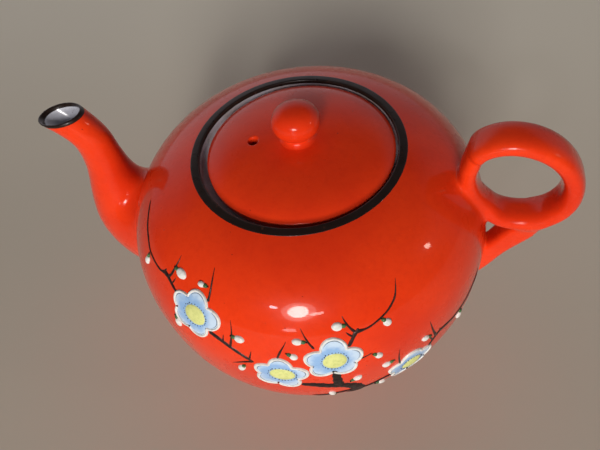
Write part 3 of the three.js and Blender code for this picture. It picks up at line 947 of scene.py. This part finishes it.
def flower(az, s, rx, ry, petals, blue, white, grey, yellow):
    heart = (rx + ry) / 2

    def tone(x, y):
        return np.clip(1.25 - (np.hypot(x, y) - heart) / 3.2 - 0.05 * x, 0, 1)

    dome(blue, az, s, 0, 0, rx + 2.4, ry + 2.4, 0.22, depth=tone)
    ovals = []
    for k, (angle, reach, half) in enumerate(petals):
        a = math.radians(angle)
        mid = np.array([math.cos(a), math.sin(a)]) * (reach - 0.4 - PETAL)
        dome(blue, az, s, *mid, PETAL, half, 0.34 + 0.03 * (k % 2), a, tone, 5.0)
        ovals.append((a, mid, half))
    for k in range(len(ovals)):
        outline_petal(k, ovals, az, s, white, grey)
    dome(yellow, az, s, 0, 0, rx, ry, 0.85, flat=2.6, rings=12, count=56)
    stamens(grey, az, s, rx, ry)


def bud(az, s, long, wide, calyx_az, calyx_s, white, green, black):
    """White bud with its calyx and a short stalk on the side of the bough."""
    r = float(np.interp(s, ARC, ARC_R))
    turn = math.atan2(s - calyx_s, math.radians(az - calyx_az) * r)
    dome(white, az, s, 0, 0, long, wide, 0.95, turn, flat=2.2, rings=8, count=28)
    back = long + 0.15
    dome(green, az, s, -math.cos(turn) * back, -math.sin(turn) * back, 1.05, 0.8, 0.7, turn,
         flat=2.2, rings=6, count=20)
    stalk = np.linspace(back - 0.3, back + 1.4, 6)
    ribbon(black, az, s, -np.cos(turn) * stalk, -np.sin(turn) * stalk,
           np.linspace(.25, .5, 6), .8)


def painting():
    black, bark, white, blue, yellow, green, grey = (Enamel() for _ in range(7))
    for points in BOUGHS:
        bough(black, points, 0.26, 0.07)
    for points in TRUNK:
        bough(bark, points, 0.34, 0.10)
    for row in BUDS:
        bud(*row, white, green, black)
    for row in FLOWERS:
        flower(*row, blue, white, grey, yellow)
    black.done("painted_twigs", enamel("black_enamel", (.010, .007, .007), (.05, .014, .010), 500))
    bark.done("painted_trunk", bark_enamel())
    white.done("painted_white", enamel("white_enamel", (.80, .80, .76), (.66, .62, .58)))
    blue.done("painted_petals", petal_enamel())
    yellow.done("painted_hearts", enamel("yellow_enamel", (.72, .74, .28), (.56, .60, .20), 700))
    green.done("painted_calyxes", enamel("green_enamel", (.035, .12, .05), (.10, .20, .06), 700))
    grey.done("painted_stamens", enamel("grey_enamel", (.05, .06, .08), (.13, .14, .17), 700))


pot_body()
foot_ring()
mouth_ring()
spout()
handle()
lid()
painting()


# ---- stage -------------------------------------------------------------------------------
def stage():
    """Plain matt floor, painted a little paler towards the back: painted light that thins the pot's
    shadow there.
    """
    m = Nodes("floor_painted_light")
    m.set(Roughness=0.6)
    parts = m.tree.nodes.new("ShaderNodeSeparateXYZ")
    m.link(m.where, parts.inputs[0])
    # Paler towards the back: painted light over the shadow that the pot throws behind it.
    far = m.span(parts.outputs["Y"], -0.05, 0.35, 0, 1, True)
    tone = m.blend(far, (0.58, 0.52, 0.425), (0.82, 0.77, 0.65))
    m.colour(m.blend(m.span(m.noise(3), 0.3, 0.7, 0, 0.12), tone, (0.45, 0.41, 0.34)))
    mesh = bpy.data.meshes.new("floor")
    mesh.from_pydata([(-3, -3, 0), (3, -3, 0), (3, 3, 0), (-3, 3, 0)], [], [(0, 1, 2, 3)])
    mesh.materials.append(m.mat)
    floor = bpy.data.objects.new("floor", mesh)
    bpy.context.scene.collection.objects.link(floor)


def lamp(name, azimuth, height, distance, size, power, colour=(1, 1, 1), seen=True):
    """Soft oval area light; azimuth turns from the front (-Y) towards +X, height in degrees.

    A light that is not seen doesn't show in the gloss.
    """
    data = bpy.data.lights.new(name, "AREA")
    data.energy, data.color = power, colour
    data.shape = "ELLIPSE"
    data.size, data.size_y = size
    obj = bpy.data.objects.new(name, data)
    az, el = math.radians(azimuth), math.radians(height)
    way = Vector((math.sin(az) * math.cos(el), -math.cos(az) * math.cos(el), math.sin(el)))
    obj.location = Vector((0, 0, 0.08)) + way * distance
    obj.rotation_euler = way.to_track_quat("Z", "Y").to_euler()
    obj.visible_glossy = seen
    bpy.context.scene.collection.objects.link(obj)


def backdrop():
    """Dim all round, with a paler wall of light behind the pot that fades out upwards."""
    world = bpy.data.worlds.new("studio")
    world.use_nodes = True
    tree = world.node_tree
    way = tree.nodes.new("ShaderNodeSeparateXYZ")
    tree.links.new(tree.nodes.new("ShaderNodeTexCoord").outputs["Generated"], way.inputs[0])

    def times(a, b):
        node = tree.nodes.new("ShaderNodeMath")
        node.operation = "MULTIPLY"
        tree.links.new(a, node.inputs[0])
        tree.links.new(b, node.inputs[1])
        return node.outputs[0]

    def fade(axis, start, end, low=0.0):
        node = tree.nodes.new("ShaderNodeMapRange")
        node.interpolation_type = "SMOOTHSTEP"
        for name, value in (("From Min", start), ("From Max", end), ("To Min", low)):
            node.inputs[name].default_value = value
        tree.links.new(way.outputs[axis], node.inputs["Value"])
        return node.outputs["Result"]

    wall = times(times(fade("Z", 0.72, 0.42), fade("Y", -0.1, 0.6)), fade("X", 0.7, -0.6, 0.35))
    bright, dim = 0.60, 0.03
    glow = tree.nodes.new("ShaderNodeMath")
    glow.operation = "MULTIPLY_ADD"
    tree.links.new(wall, glow.inputs[0])
    glow.inputs[1].default_value, glow.inputs[2].default_value = bright, dim
    sky = tree.nodes["Background"]
    sky.inputs["Color"].default_value = (1.0, 0.92, 0.98, 1)
    tree.links.new(glow.outputs[0], sky.inputs["Strength"])
    bpy.context.scene.world = world


def lights():
    backdrop()
    bpy.context.scene.view_settings.view_transform = "Standard"
    lamp("key", 5, 27.5, 2.6, (0.46, 0.56), 20, (1.0, 0.98, 0.95))
    lamp("key_halo", 5.5, 27, 2.6, (0.78, 0.90), 7, (1.0, 0.93, 0.88))
    lamp("key_left", -9.5, 30.5, 2.6, (0.22, 0.15), 2.6, (0.92, 0.88, 1.0))
    lamp("key_right", 15.5, 24.5, 2.6, (0.36, 0.15), 2.4, (1.0, 0.9, 0.86))
    lamp("key_low", 1, 6.5, 2.6, (0.34, 0.18), 1.3)
    lamp("side", 90, 25, 2.6, (0.14, 0.24), 1.6, (1.0, 0.9, 0.75))
    lamp("fill", 7, 10, 5.0, (2.2, 1.4), 160, (1.0, 0.97, 0.93), False)
    lamp("back_fill", 195, 9, 5.0, (2.8, 1.4), 42, (1.0, 0.98, 0.96), False)


def camera():
    """Close above the front, on the handle's side, and rolled a little."""
    data = bpy.data.cameras.new("camera")
    data.lens, data.sensor_width = 28.914, 36
    obj = bpy.data.objects.new("camera", data)
    obj.location = Vector((0.04861, -0.12170, 0.23767))
    look = Vector((-0.2188, 0.5416, -0.8117)).to_track_quat("-Z", "Y")
    roll = Quaternion((0, 0, 1), math.radians(-11.30))
    obj.rotation_euler = (look @ roll).to_euler()
    bpy.context.scene.collection.objects.link(obj)
    bpy.context.scene.camera = obj


stage()
lights()
camera()
